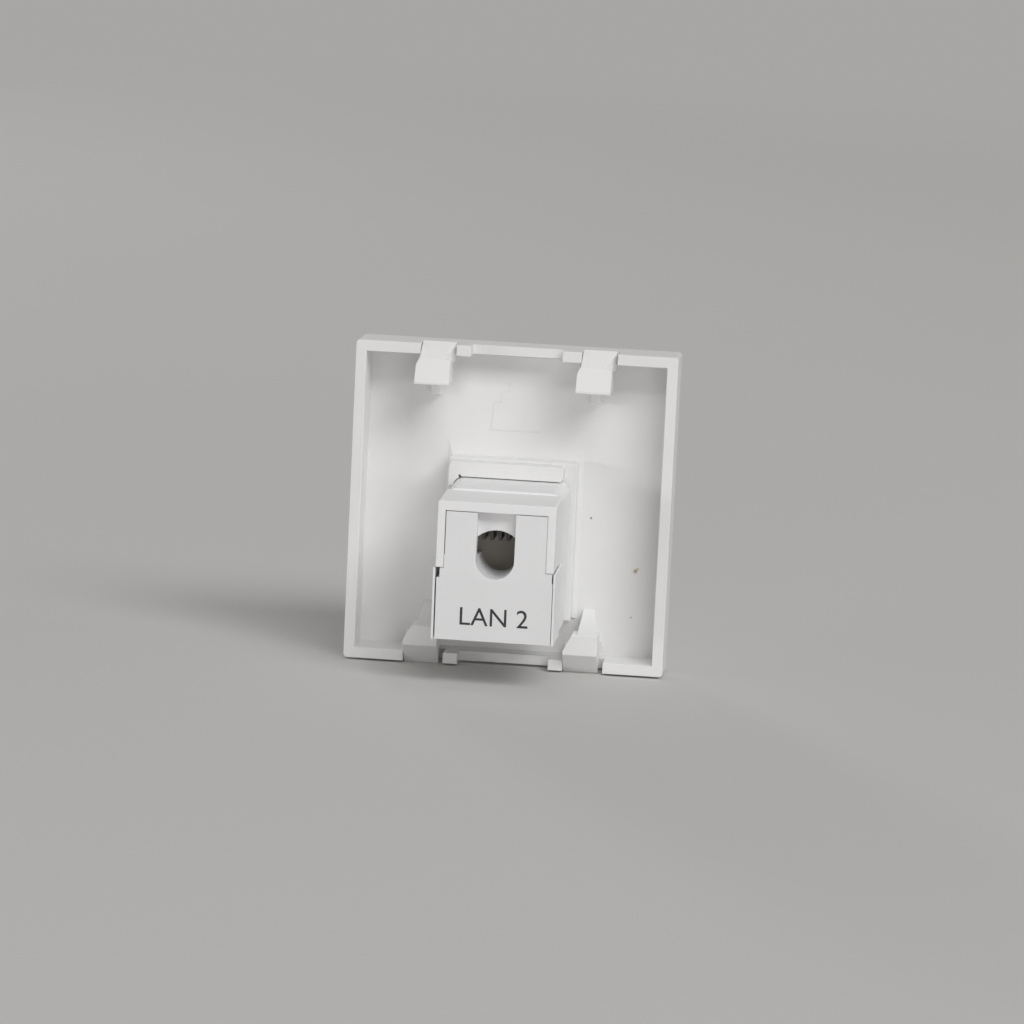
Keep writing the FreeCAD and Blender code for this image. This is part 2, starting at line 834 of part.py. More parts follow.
os.makedirs("parts", exist_ok=True)
for item in nodes:
    item.Shape.exportStep(f"parts/{item.Label}.step")
    box = item.Shape.BoundBox
    print(
        f"{item.Label}: volume {item.Shape.Volume:.2f} mm3, "
        f"x {box.XMin:.2f}..{box.XMax:.2f}, y {box.YMin:.2f}..{box.YMax:.2f}, z {box.ZMin:.2f}..{box.ZMax:.2f}"
    )
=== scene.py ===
# %% [markdown]
# An ethernet socket module, seen from the back.
# The part is a square plastic tray that snaps into a wall plate. A jack stands in its middle, and a loose
# wire cap with a hole for the cable closes the jack's rear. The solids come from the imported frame, in
# metres, so nothing is measured or placed twice. This script adds what a drawing leaves out: eased edges,
# the finish of every surface, the print, a faint mould mark, and the studio.

# %% Load the frame
import json
import math
from collections import namedtuple

import bmesh
import bpy
import numpy as np
from mathutils import Matrix, Vector
from mathutils.bvhtree import BVHTree


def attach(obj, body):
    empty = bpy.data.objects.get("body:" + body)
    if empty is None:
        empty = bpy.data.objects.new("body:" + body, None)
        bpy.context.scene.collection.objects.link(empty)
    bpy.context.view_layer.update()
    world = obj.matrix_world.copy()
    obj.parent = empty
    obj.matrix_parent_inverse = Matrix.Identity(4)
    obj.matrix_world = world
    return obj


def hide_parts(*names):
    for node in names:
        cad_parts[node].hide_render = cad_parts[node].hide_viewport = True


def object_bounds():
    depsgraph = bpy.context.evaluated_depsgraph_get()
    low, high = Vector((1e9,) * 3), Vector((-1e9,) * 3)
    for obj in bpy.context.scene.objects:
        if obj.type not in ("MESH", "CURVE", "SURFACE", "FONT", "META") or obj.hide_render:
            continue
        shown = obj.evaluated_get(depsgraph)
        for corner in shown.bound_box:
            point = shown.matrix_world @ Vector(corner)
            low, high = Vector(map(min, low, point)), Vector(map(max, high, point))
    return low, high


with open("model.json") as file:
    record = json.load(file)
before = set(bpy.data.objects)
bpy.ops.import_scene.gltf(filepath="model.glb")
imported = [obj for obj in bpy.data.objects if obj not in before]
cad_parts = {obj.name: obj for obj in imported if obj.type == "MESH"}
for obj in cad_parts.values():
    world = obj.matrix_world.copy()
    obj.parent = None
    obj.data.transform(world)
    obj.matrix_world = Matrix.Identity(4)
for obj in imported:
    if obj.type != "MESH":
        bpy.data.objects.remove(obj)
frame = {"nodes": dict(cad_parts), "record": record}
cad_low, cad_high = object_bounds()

MM = 0.001
scene = bpy.context.scene
print("frame:", len(frame["nodes"]), "nodes, box in mm", [round(v / MM, 2) for v in cad_high - cad_low])

# %% [markdown]
# A camera needs a place, a direction and a lens. A long lens from three quarters of a metre gives the flat
# look of a product photograph. It looks at the back of the module, a little from above and from the side,
# and it is rolled a few degrees, because the module doesn't stand quite straight in the picture. The three
# axes are worked out from the angles and put into the camera's matrix, which is exact where dragging a
# camera by eye is not.

# %% Camera
AZIMUTH = math.radians(185.56)
ELEVATION = math.radians(8.84)
ROLL = math.radians(2.705)
DISTANCE = 740 * MM
TARGET = Vector((-0.415, 8.6, -0.478)) * MM
SENSOR = 36.0
FOCAL_RATIO = 4.665
NEAR_CLIP = 10 * MM

back = Vector(
    (
        math.sin(AZIMUTH) * math.cos(ELEVATION),
        -math.cos(AZIMUTH) * math.cos(ELEVATION),
        math.sin(ELEVATION),
    )
)
level = Vector((0, 0, 1)).cross(back).normalized()
upright = back.cross(level)
right = math.cos(ROLL) * level + math.sin(ROLL) * upright
up = math.cos(ROLL) * upright - math.sin(ROLL) * level
lens = bpy.data.cameras.new("camera")
lens.sensor_width = SENSOR
lens.lens = FOCAL_RATIO * SENSOR
lens.clip_start = NEAR_CLIP
camera = bpy.data.objects.new("camera", lens)
turn = Matrix((right, up, back)).transposed().to_4x4()
camera.matrix_world = Matrix.Translation(TARGET + DISTANCE * back) @ turn
scene.collection.objects.link(camera)
scene.camera = camera
print("camera:", [round(v, 3) for v in camera.location], "lens", round(lens.lens, 1))

# %% [markdown]
# The real part has two bodies: the module, and the loose cap that slides off its rear. A piece could be
# parented to a solid by hand. Here the record says which node belongs to which body, and one function lets
# every added piece ride on its body, so that it follows each move.

# %% Pieces that ride on a body
bodies = {node: body for body, nodes in frame["record"]["behaviour"]["bodies"].items() for node in nodes}


def add_piece(name, mesh, node):
    """An object for a mesh that rides on a node's body."""
    piece = bpy.data.objects.new(name, mesh)
    scene.collection.objects.link(piece)
    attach(piece, bodies[node])
    print("piece:", name, len(mesh.polygons), "faces")
    return piece


print("bodies:", sorted(set(bodies.values())))

# %% [markdown]
# A mould leaves no knife edges: every outer edge of a moulded part is a narrow round, and it is that round
# that catches the light. The solids have sharp edges, so each visible moulding gets a merged copy with a
# Bevel modifier. The modifier can round all edges or only those with a weight, and weights say more. The
# convex edges that turn sharply get one, and inner corners stay sharp, as the mould's own edges do. Where
# two pieces meet closely, the edges get only a share of it, so that the seam stays a fine line. Under the
# tab, and at the tiny steps of the clip heads, there is no room for a round, and the weight is zero.

# %% Weights for the edges
SHARP = math.radians(25)
Seam = namedtuple("Seam", "low high share")
TAB_SEAM = Seam((-9.9, 5.0, 2.9), (9.9, 9.0, 4.9), 0.0)
CLIP_HEADS = Seam((-15.3, 8.9, 22.3), (15.3, 9.9, 23.1), 0.0)
CAP_SEAM = Seam((-8.5, 20.0, -7.5), (8.5, 30.0, 2.6), 0.35)


def weigh_edges(shape, seams):
    """Give each sharp convex edge of a shape a bevel weight.

    The weight is one, or the share of the seam whose box holds the middle of the edge. A box is given by
    two corners in millimetres.
    """
    weights = shape.edges.layers.float.new("bevel_weight_edge")
    for edge in shape.edges:
        if edge.is_manifold and edge.calc_face_angle_signed() > SHARP:
            middle = (edge.verts[0].co + edge.verts[1].co) / (2 * MM)
            edge[weights] = 1.0
            for seam in seams:
                if all(low < value < high for low, value, high in zip(seam.low, middle, seam.high)):
                    edge[weights] = seam.share


print("seam shares:", [seam.share for seam in (TAB_SEAM, CLIP_HEADS, CAP_SEAM)])

# %% [markdown]
# A solid comes as loose triangles, and a bevel needs whole faces that share their edges. So the copy is
# first merged and freed of the flat edges between triangles, then weighed. The modifier stays live: the
# width can still be changed, and the faces beside a round keep their flat shading.

# %% Copy with eased edges
MERGE = 0.001 * MM
FLAT = math.radians(1)
ROUND_STEPS = 3


def eased_copy(name, width, seams=()):
    """A merged copy of a solid, with its sharp convex edges cut back by a round of the given width."""
    shape = bmesh.new()
    shape.from_mesh(frame["nodes"][name].data)
    bmesh.ops.remove_doubles(shape, verts=shape.verts, dist=MERGE)
    bmesh.ops.dissolve_limit(shape, angle_limit=FLAT, verts=shape.verts, edges=shape.edges)
    weigh_edges(shape, seams)
    mesh = bpy.data.meshes.new(f"{name}_moulding")
    shape.to_mesh(mesh)
    shape.free()
    if "custom_normal" in mesh.attributes:
        mesh.attributes.remove(mesh.attributes["custom_normal"])
    mesh.shade_smooth()
    mesh.set_sharp_from_angle(angle=SHARP)
    piece = add_piece(f"{name}_moulding", mesh, name)
    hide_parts(name)
    ease = piece.modifiers.new("eased_edges", "BEVEL")
    ease.limit_method = "WEIGHT"
    ease.width = width
    ease.segments = ROUND_STEPS
    ease.use_clamp_overlap = False
    ease.harden_normals = True
    return piece


print("a round has", ROUND_STEPS, "steps")

# %% [markdown]
# Three mouldings are seen: the plate with its tray and clips, the jack, and the cap on the jack's rear. The
# cap is the smallest of them, so its edges are eased the least.

# %% Mouldings
PLATE_ROUND = 0.12 * MM
JACK_ROUND = 0.12 * MM
CAP_ROUND = 0.07 * MM

plate = eased_copy("module_plate", PLATE_ROUND, (TAB_SEAM, CLIP_HEADS))
jack = eased_copy("jack_body", JACK_ROUND, (CAP_SEAM,))
cap = eased_copy("wire_cap", CAP_ROUND)

# %% [markdown]
# Several plastics of this part come from the same kind of mould, so they share one skin: a fine
# spark-eroded grain and a slow mottle in tone and gloss. As a node group it is built once, and each
# material sets its own scale. The group only puts out values that change over the surface. The shader
# itself stays in the material.

# %% Moulded skin
GRAIN_DETAIL = 3.0
MOTTLE_DETAIL = 2.0
GLOSS_SLICE = 3.0


def node_group(name, inputs, outputs):
    """A shader node group with named sockets, returned with its input and output nodes."""
    group = bpy.data.node_groups.new(name, "ShaderNodeTree")
    for label, kind in inputs:
        group.interface.new_socket(label, in_out="INPUT", socket_type=f"NodeSocket{kind}")
    for label, kind in outputs:
        group.interface.new_socket(label, in_out="OUTPUT", socket_type=f"NodeSocket{kind}")
    return group, group.nodes.new("NodeGroupInput"), group.nodes.new("NodeGroupOutput")


skin, skin_in, skin_out = node_group(
    "moulded_skin",
    [("Vector", "Vector"), ("Grain", "Float"), ("Mottle", "Float")],
    [("Height", "Float"), ("Tone", "Float"), ("Gloss", "Float")],
)
grain = skin.nodes.new("ShaderNodeTexNoise")
grain.inputs["Detail"].default_value = GRAIN_DETAIL
tone = skin.nodes.new("ShaderNodeTexNoise")
tone.inputs["Detail"].default_value = MOTTLE_DETAIL
gloss = skin.nodes.new("ShaderNodeTexNoise")
gloss.noise_dimensions = "4D"
gloss.inputs["W"].default_value = GLOSS_SLICE
gloss.inputs["Detail"].default_value = MOTTLE_DETAIL
channels = ((grain, "Grain", "Height"), (tone, "Mottle", "Tone"), (gloss, "Mottle", "Gloss"))
for texture, scale, result in channels:
    skin.links.new(skin_in.outputs["Vector"], texture.inputs["Vector"])
    skin.links.new(skin_in.outputs[scale], texture.inputs["Scale"])
    skin.links.new(texture.outputs["Fac"], skin_out.inputs[result])
print("group:", skin.name, [item.name for item in skin.interface.items_tree])

# %% [markdown]
# A finish is mostly the same few nodes with other values: a group that gets the coordinates, a mix of two
# colours by a mask, and a noise value stretched to a range, because noise rarely reaches zero or one. They
# could be wired by hand in the shader editor. A small function for each keeps the later cells short.

# %% Helpers for finishes
NOISE_LOW, NOISE_HIGH = 0.3, 0.7
# A Mix node has several sockets of each name, so its colour sockets are given by their numbers.
COLOUR_A, COLOUR_B, COLOUR_OUT = 6, 7, 2


def placed(material, group, vector):
    """Put a node group into a material and feed it the coordinates."""
    node = material.node_tree.nodes.new("ShaderNodeGroup")
    node.node_tree = group
    material.node_tree.links.new(vector, node.inputs["Vector"])
    return node


def mixed(owner, factor, first, second):
    """Mix two colours by a mask in a material or world. A colour is a triple or a socket."""
    tree = owner.node_tree
    node = tree.nodes.new("ShaderNodeMix")
    node.data_type = "RGBA"
    tree.links.new(factor, node.inputs["Factor"])
    for label, colour in ((COLOUR_A, first), (COLOUR_B, second)):
        if isinstance(colour, tuple):
            node.inputs[label].default_value = (*colour, 1)
        else:
            tree.links.new(colour, node.inputs[label])
    return node.outputs[COLOUR_OUT]


def ranged(material, value, low, high):
    """Stretch a noise value around its middle to a range."""
    node = material.node_tree.nodes.new("ShaderNodeMapRange")
    node.inputs["From Min"].default_value = NOISE_LOW
    node.inputs["From Max"].default_value = NOISE_HIGH
    node.inputs["To Min"].default_value = low
    node.inputs["To Max"].default_value = high
    material.node_tree.links.new(value, node.inputs["Value"])
    return node.outputs["Result"]


def new_material(name):
    """A material with its shader and the Object coordinates that every pattern here reads."""
    material = bpy.data.materials.new(name)
    material.use_nodes = True
    nodes = material.node_tree.nodes
    print("material:", name)
    return material, nodes["Principled BSDF"], nodes.new("ShaderNodeTexCoord").outputs["Object"]


print("noise is stretched from", NOISE_LOW, "to", NOISE_HIGH)

# %% [markdown]
# Every plastic here follows one recipe: a Principled shader, the skin for tone, gloss and grain, and a Bump
# node. One function makes them all, so that they stay alike, and it gives back the sockets that a later
# cell may want to work on. The grain is a hundredth of a millimetre deep, which only a close look shows.

# %% Plastic recipe
GRAIN = 3200.0
GRAIN_DEPTH = 0.012 * MM
GRAIN_STRENGTH = 0.35
MOTTLE = 90.0
Finish = namedtuple("Finish", "material shader place colour")


def plastic(name, tones, roughness, mottle=MOTTLE):
    """A moulded plastic whose colour and roughness each drift between two values, with a fine grain."""
    material, shader, place = new_material(name)
    tree = material.node_tree
    surface = placed(material, skin, place)
    surface.inputs["Grain"].default_value = GRAIN
    surface.inputs["Mottle"].default_value = mottle
    colour = mixed(material, ranged(material, surface.outputs["Tone"], 0, 1), *tones)
    tree.links.new(colour, shader.inputs["Base Color"])
    tree.links.new(ranged(material, surface.outputs["Gloss"], *roughness), shader.inputs["Roughness"])
    bump = tree.nodes.new("ShaderNodeBump")
    bump.inputs["Distance"].default_value = GRAIN_DEPTH
    bump.inputs["Strength"].default_value = GRAIN_STRENGTH
    tree.links.new(surface.outputs["Height"], bump.inputs["Height"])
    tree.links.new(bump.outputs["Normal"], shader.inputs["Normal"])
    return Finish(material, shader, place, colour)


print("plastic recipe:", Finish._fields)

# %% [markdown]
# The tray, the jack and the cap are white thermoplastic with a satin skin. The white isn't one colour: it
# drifts between two close tones, and the gloss drifts with it. Light also enters a white plastic a little
# and comes out beside where it went in, which softens the shading of small forms, so the shader gets a
# small subsurface weight.

# %% White plastics
SUBSURFACE = 0.12
SUBSURFACE_REACH = 0.9 * MM
SUBSURFACE_TINT = (1.0, 0.95, 0.9)

plate_white = plastic(
    "plate_white",
    tones=((0.865, 0.863, 0.856), (0.89, 0.888, 0.884)),
    roughness=(0.36, 0.46),
)
jack_white = plastic(
    "jack_white",
    tones=((0.92, 0.92, 0.926), (0.935, 0.935, 0.941)),
    roughness=(0.40, 0.50),
)
cap_white = plastic(
    "cap_white",
    tones=((0.855, 0.855, 0.862), (0.88, 0.88, 0.887)),
    roughness=(0.42, 0.52),
)
for piece, white in ((plate, plate_white), (jack, jack_white), (cap, cap_white)):
    white.shader.inputs["Subsurface Weight"].default_value = SUBSURFACE
    white.shader.inputs["Subsurface Radius"].default_value = SUBSURFACE_TINT
    white.shader.inputs["Subsurface Scale"].default_value = SUBSURFACE_REACH
    piece.data.materials.append(white.material)
    print(piece.name, "in", white.material.name)

# %% [markdown]
# The floor of the tray carries a faint stepped line, a trace of an insert in the mould. It is a ridge a few
# hundredths of a millimetre high. A bump in the material could draw it, but a ridge with a shape is still
# there when the part is exported. Its section, a raised cosine, is carried along a path as a grid: one row
# of points for each corner, one column for each step across. At a corner the row lies along the mitre, so
# the ridge keeps its width on both sides of it.

# %% Ridge along a path
FLOOR_LEVEL = 1.9 * MM
LINE_WIDTH = 0.24 * MM
LINE_HEIGHT = 0.04 * MM
LINE_STEPS = 9
LINE_PATH = np.array(
    [(-3.6, 11.25), (4.1, 11.25), (3.85, 15.55), (2.76, 15.7), (2.7, 17.3), (1.55, 17.4), (1.5, 18.75)]
)


def ridge(path, width, height, steps, level):
    """A ridge along a flat path in X and Z, facing +Y.

    Each row of points crosses the path along the mitre of its two neighbouring runs. The mitre is the sum of
    their sideways directions, divided by one plus the cosine of the angle between them. Across the row the
    height follows one period of a raised cosine, from the floor up to the crest and back.
    """
    runs = np.diff(path, axis=0)
    runs /= np.linalg.norm(runs, axis=1, keepdims=True)
    before = np.vstack([runs[:1], runs])
    after = np.vstack([runs, runs[-1:]])
    along = before + after
    mitre = np.stack([-along[:, 1], along[:, 0]], axis=1)
    mitre /= 1 + np.sum(before * after, axis=1, keepdims=True)
    across = np.linspace(-0.5, 0.5, steps)
    flat = path[:, None] + width * across[None, :, None] * mitre[:, None]
    lift = np.broadcast_to(level + height * (0.5 + 0.5 * np.cos(2 * np.pi * across)), flat.shape[:2])
    return np.stack([flat[..., 0], lift, flat[..., 1]], axis=-1)


line_points = ridge(LINE_PATH * MM, LINE_WIDTH, LINE_HEIGHT, LINE_STEPS, FLOOR_LEVEL)
print("ridge:", line_points.shape[0], "rows of", line_points.shape[1], "points")

# %% [markdown]
# A grid of points becomes a mesh by joining each point with its neighbours in the next column and the next
# row. Their numbers follow from row and column, so the faces are worked out as whole arrays too. The line
# has a greyer white of its own, painted shade: it stands in for the dark that a groove along the line shows.

# %% Mould line on the tray floor
LINE_MOTTLE = 900.0


def grid_mesh(name, points, material):
    """A mesh of four-sided faces on a grid of points, given by row, column and coordinate.

    The number of a point is its row times the count of columns, plus its column. A face joins a point, the
    next one in its row, and the two with the same columns in the next row.
    """
    rows, columns = points.shape[:2]
    corner = (np.arange(rows - 1)[:, None] * columns + np.arange(columns - 1)).ravel()
    faces = np.stack([corner, corner + 1, corner + columns + 1, corner + columns], axis=1)
    mesh = bpy.data.meshes.new(name)
    mesh.from_pydata(points.reshape(-1, 3), [], faces.tolist())
    mesh.shade_smooth()
    mesh.materials.append(material)
    return mesh


# The greyer white of the line is painted shade, the dark of a groove along it.
trace_painted_shade = plastic(
    "trace_painted_shade",
    tones=((0.80, 0.798, 0.792), (0.855, 0.853, 0.846)),
    roughness=(0.40, 0.50),
    mottle=LINE_MOTTLE,
)
line_mesh = grid_mesh("mould_line", line_points, trace_painted_shade.material)
add_piece("mould_line", line_mesh, "module_plate")

# %% [markdown]
# A few specks of dirt lie in the tray. Each is a small ragged spot, so a second group measures the distance
# from a centre, bends it with noise, and puts out a mask that falls from one to zero near the radius.
# Painting them in the material keeps them on the surface from every side.

# %% Speck mask
RAGGED_SCALE = 4000.0
RAGGED_SHARE = 0.8
SOFT_EDGE = 0.6
speck, speck_in, speck_out = node_group(
    "speck",
    [("Vector", "Vector"), ("Centre", "Vector"), ("Radius", "Float")],
    [("Mask", "Float")],
)
offset = speck.nodes.new("ShaderNodeVectorMath")
offset.operation = "DISTANCE"
bend = speck.nodes.new("ShaderNodeTexNoise")
bend.inputs["Scale"].default_value = RAGGED_SCALE
ragged = speck.nodes.new("ShaderNodeMath")
ragged.operation = "MULTIPLY_ADD"
ragged.inputs[1].default_value = RAGGED_SHARE
ragged.inputs[2].default_value = 1 - RAGGED_SHARE / 2
reach = speck.nodes.new("ShaderNodeMath")
reach.operation = "MULTIPLY"
near = speck.nodes.new("ShaderNodeMath")
near.operation = "MULTIPLY"
near.inputs[1].default_value = SOFT_EDGE
fall = speck.nodes.new("ShaderNodeMapRange")
fall.inputs["To Min"].default_value = 1.0
fall.inputs["To Max"].default_value = 0.0
speck.links.new(speck_in.outputs["Vector"], offset.inputs[0])
speck.links.new(speck_in.outputs["Centre"], offset.inputs[1])
speck.links.new(speck_in.outputs["Vector"], bend.inputs["Vector"])
speck.links.new(bend.outputs["Fac"], ragged.inputs[0])
speck.links.new(speck_in.outputs["Radius"], reach.inputs[0])
speck.links.new(ragged.outputs["Value"], reach.inputs[1])
speck.links.new(reach.outputs["Value"], near.inputs[0])
speck.links.new(offset.outputs["Value"], fall.inputs["Value"])
speck.links.new(near.outputs["Value"], fall.inputs["From Min"])
speck.links.new(reach.outputs["Value"], fall.inputs["From Max"])
speck.links.new(fall.outputs["Result"], speck_out.inputs["Mask"])
print("group:", speck.name, [item.name for item in speck.interface.items_tree])

# %% [markdown]
# Now the specks go onto the tray: two grey ones and a brown one with a paler smear round it, each at its
# place. Every spot is one more layer of colour over the white, mixed in by its mask, and the later ones lie
# on top.

# %% Specks on the tray
GREY_DIRT = (0.33, 0.32, 0.31)
PALE_DIRT = (0.56, 0.54, 0.53)
BROWN_DIRT = (0.33, 0.26, 0.17)
TAN_DIRT = (0.68, 0.60, 0.49)
SPOTS = (
    (-12.21, -1.73, 0.23, GREY_DIRT),
    (-19.50, -9.72, 0.46, TAN_DIRT),
    (-19.82, -9.36, 0.30, TAN_DIRT),
    (-19.56, -9.66, 0.22, BROWN_DIRT),
    (-19.23, -17.05, 0.19, PALE_DIRT),
)

layer = plate_white.colour
for x, z, radius, colour in SPOTS:
    spot = placed(plate_white.material, speck, plate_white.place)
    spot.inputs["Centre"].default_value = (x * MM, FLOOR_LEVEL, z * MM)
    spot.inputs["Radius"].default_value = radius * MM
    layer = mixed(plate_white.material, spot.outputs["Mask"], layer, colour)
plate_white.material.node_tree.links.new(layer, plate_white.shader.inputs["Base Color"])
print("spots:", len(SPOTS))

# %% [markdown]
# The cap carries a port name, printed in dark grey ink. Letters could be drawn point by point, but a text
# object already has their outlines. It is made a mesh, and its points are centred and scaled to the height
# of the print. The words are plain ones, so the part stays free of any name.

# %% Letters of the print
PRINT_WORDS = "LAN 2"
PRINT_HEIGHT = 2.75 * MM


def word_mesh(name, words):
    """The mesh of a text object, flat in X and Y, with the height that the font gives it."""
    curve = bpy.data.curves.new(name, "FONT")
    curve.body = words
    outline = bpy.data.objects.new(name, curve)
    scene.collection.objects.link(outline)
    bpy.context.view_layer.update()
    mesh = bpy.data.meshes.new_from_object(outline.evaluated_get(bpy.context.evaluated_depsgraph_get()))
    bpy.data.objects.remove(outline)
    return mesh


print_mesh = word_mesh("port_name", PRINT_WORDS)
drawn_points = np.empty(len(print_mesh.vertices) * 3)
print_mesh.vertices.foreach_get("co", drawn_points)
letters = drawn_points.reshape(-1, 3)[:, :2]
letters = letters - (letters.min(axis=0) + letters.max(axis=0)) / 2
letters *= PRINT_HEIGHT / np.ptp(letters[:, 1])
print("letters in mm:", np.round(np.ptp(letters, axis=0) / MM, 2))

# %% [markdown]
# The lower part of the cap's rear face is a plane that slopes a little. A Shrinkwrap modifier could press
# the print onto it. One ray is simpler: it finds the plane, and every point is laid on it and set a few
# thousandths of a millimetre proud, as ink is.

# %% Print on the cap
PRINT_MIDDLE = Vector((-0.2, 0, -13.95)) * MM
INK_LIFT = 0.004 * MM
INK_MOTTLE = 1500.0


def laid_on(flat, middle, surface, lift):
    """Points of a flat drawing laid on the face behind a middle point, to be read from +Y.

    The drawing's X runs along -X and its Y along Z. A ray along -Y finds a place on the face and its normal.
    On the face's plane the way from that place has no part along the normal, which gives Y from X and Z.
    """
    faces = bmesh.new()
    faces.from_mesh(surface)
    start = Vector((middle.x, 2 * cad_high.y, middle.z))
    place, normal = BVHTree.FromBMesh(faces).ray_cast(start, Vector((0, -1, 0)))[:2]
    faces.free()
    x = middle.x - flat[:, 0]
    z = middle.z + flat[:, 1]
    y = place.y - (normal.x * (x - place.x) + normal.z * (z - place.z)) / normal.y
    return np.stack([x, y + lift, z], axis=1)


laid = laid_on(letters, PRINT_MIDDLE, frame["nodes"]["wire_cap"].data, INK_LIFT)
print_mesh.vertices.foreach_set("co", laid.ravel())
print_mesh.update()
ink = plastic(
    "print_ink",
    tones=((0.028, 0.028, 0.03), (0.05, 0.05, 0.054)),
    roughness=(0.5, 0.65),
    mottle=INK_MOTTLE,
)
print_mesh.materials.clear()
print_mesh.materials.append(ink.material)
add_piece("port_name", print_mesh, "wire_cap")

# %% [markdown]
# Inside the jack, the spring contacts are gilded wire and the forked blades are tinned sheet. Both were
# drawn or rolled, which leaves fine streaks along their length. One group makes the streaks by stretching a
# noise along Y, and the two metals use them for their roughness and for a slight change of tone.

# %% Metals
STREAK_SCALE = 6000.0
STREAK_STRETCH = (1.0, 0.06, 1.0)
drawn, drawn_in, drawn_out = node_group(
    "drawn_metal",
    [("Vector", "Vector"), ("Scale", "Float")],
    [("Streak", "Float")],
)
stretch = drawn.nodes.new("ShaderNodeMapping")
stretch.inputs["Scale"].default_value = STREAK_STRETCH
streak = drawn.nodes.new("ShaderNodeTexNoise")
streak.inputs["Detail"].default_value = GRAIN_DETAIL
drawn.links.new(drawn_in.outputs["Vector"], stretch.inputs["Vector"])
drawn.links.new(stretch.outputs["Vector"], streak.inputs["Vector"])
drawn.links.new(drawn_in.outputs["Scale"], streak.inputs["Scale"])
drawn.links.new(streak.outputs["Fac"], drawn_out.inputs["Streak"])


def metal(name, tones, roughness):
    """A metal with streaks along Y that change its tone and roughness a little."""
    material, shader, place = new_material(name)
    shader.inputs["Metallic"].default_value = 1.0
    surface = placed(material, drawn, place)
    surface.inputs["Scale"].default_value = STREAK_SCALE
    links = material.node_tree.links
    links.new(mixed(material, surface.outputs["Streak"], *tones), shader.inputs["Base Color"])
    links.new(ranged(material, surface.outputs["Streak"], *roughness), shader.inputs["Roughness"])
    return material


gilt = metal("contact_gilt", tones=((0.83, 0.62, 0.26), (0.90, 0.71, 0.36)), roughness=(0.16, 0.3))
tin = metal("blade_tin", tones=((0.62, 0.62, 0.60), (0.74, 0.74, 0.72)), roughness=(0.28, 0.46))

# %% [markdown]
# The board is glass cloth under a green mask. The cloth shows as a faint weave through the mask. A weave
# could be modelled thread by thread, but at this size it is only a change of tone: two waves at right
# angles, multiplied, change the green and the gloss by a little.

# %% Circuit board
WEAVE_SCALE = 700.0
DARK_GREEN = (0.055, 0.20, 0.10)
LIGHT_GREEN = (0.08, 0.27, 0.14)
BOARD_ROUGHNESS = (0.3, 0.4)
board, board_shader, board_place = new_material("board_green")
board_tree = board.node_tree
weave = board_tree.nodes.new("ShaderNodeMath")
weave.operation = "MULTIPLY"
for factor, direction in zip(weave.inputs, "XZ"):
    thread = board_tree.nodes.new("ShaderNodeTexWave")
    thread.bands_direction = direction
    thread.inputs["Scale"].default_value = WEAVE_SCALE
    board_tree.links.new(board_place, thread.inputs["Vector"])
    board_tree.links.new(thread.outputs["Fac"], factor)
green = mixed(board, weave.outputs["Value"], DARK_GREEN, LIGHT_GREEN)
satin = ranged(board, weave.outputs["Value"], *BOARD_ROUGHNESS)
board_tree.links.new(green, board_shader.inputs["Base Color"])
board_tree.links.new(satin, board_shader.inputs["Roughness"])

# %% [markdown]
# Two surfaces here change their colour from one end to the other: the comb behind the cap, whose teeth are
# darker than its base with painted shade, and the floor of the studio. Each could be cut in two, but a mask
# gives a soft change and leaves the shape alone. It rises from zero to one between two places along Y, and a
# second colour is mixed in by it. More than one material uses it, so it is a group.

# %% Change of colour along Y
rise, rise_in, rise_out = node_group(
    "rise_along_y",
    [("Vector", "Vector"), ("Start", "Float"), ("End", "Float")],
    [("Mask", "Float")],
)
axes = rise.nodes.new("ShaderNodeSeparateXYZ")
slope = rise.nodes.new("ShaderNodeMapRange")
rise.links.new(rise_in.outputs["Vector"], axes.inputs["Vector"])
rise.links.new(axes.outputs["Y"], slope.inputs["Value"])
rise.links.new(rise_in.outputs["Start"], slope.inputs["From Min"])
rise.links.new(rise_in.outputs["End"], slope.inputs["From Max"])
rise.links.new(slope.outputs["Result"], rise_out.inputs["Mask"])


def change_along_y(finish, start, end, colour):
    """Let the colour of a plastic pass into a second one between two places along Y."""
    mask = placed(finish.material, rise, finish.place)
    mask.inputs["Start"].default_value = start
    mask.inputs["End"].default_value = end
    passed = mixed(finish.material, mask.outputs["Mask"], finish.colour, colour)
    finish.material.node_tree.links.new(passed, finish.shader.inputs["Base Color"])


print("group:", rise.name, [item.name for item in rise.interface.items_tree])

# %% [markdown]
# The carrier, which guides the spring contacts, is a dark, matt plastic. The comb, which holds the wires
# over the blades, is a warm grey one, and its teeth are darker still: painted shade, the shade that the
# cap's arch casts on them. Both come from the recipe for plastics with tones and gloss of their own, so they
# share the skin of the white parts.

# %% Carrier and comb
# The teeth's grey is painted shade: from the root outwards the comb passes into it, as the arch's shade
# deepens.
TEETH_PAINTED_SHADE = (0.10, 0.097, 0.09)
TEETH_ROOT = 16.6 * MM
TEETH_SHADE_FULL = 18.0 * MM

carrier_dark = plastic(
    "carrier_dark",
    tones=((0.04, 0.04, 0.043), (0.06, 0.06, 0.064)),
    roughness=(0.5, 0.62),
)
comb_grey_shaded_teeth = plastic(
    "comb_grey_shaded_teeth",
    tones=((0.53, 0.485, 0.43), (0.60, 0.55, 0.49)),
    roughness=(0.45, 0.55),
)
change_along_y(comb_grey_shaded_teeth, TEETH_ROOT, TEETH_SHADE_FULL, TEETH_PAINTED_SHADE)

# %% [markdown]
# The carrier, the comb, the board, the contacts and the blades sit inside the jack, where an eased edge
# would hardly show. They keep their own solids, so only their material slots are filled. The slots are
# linked to the object, because a solid's mesh isn't changed.

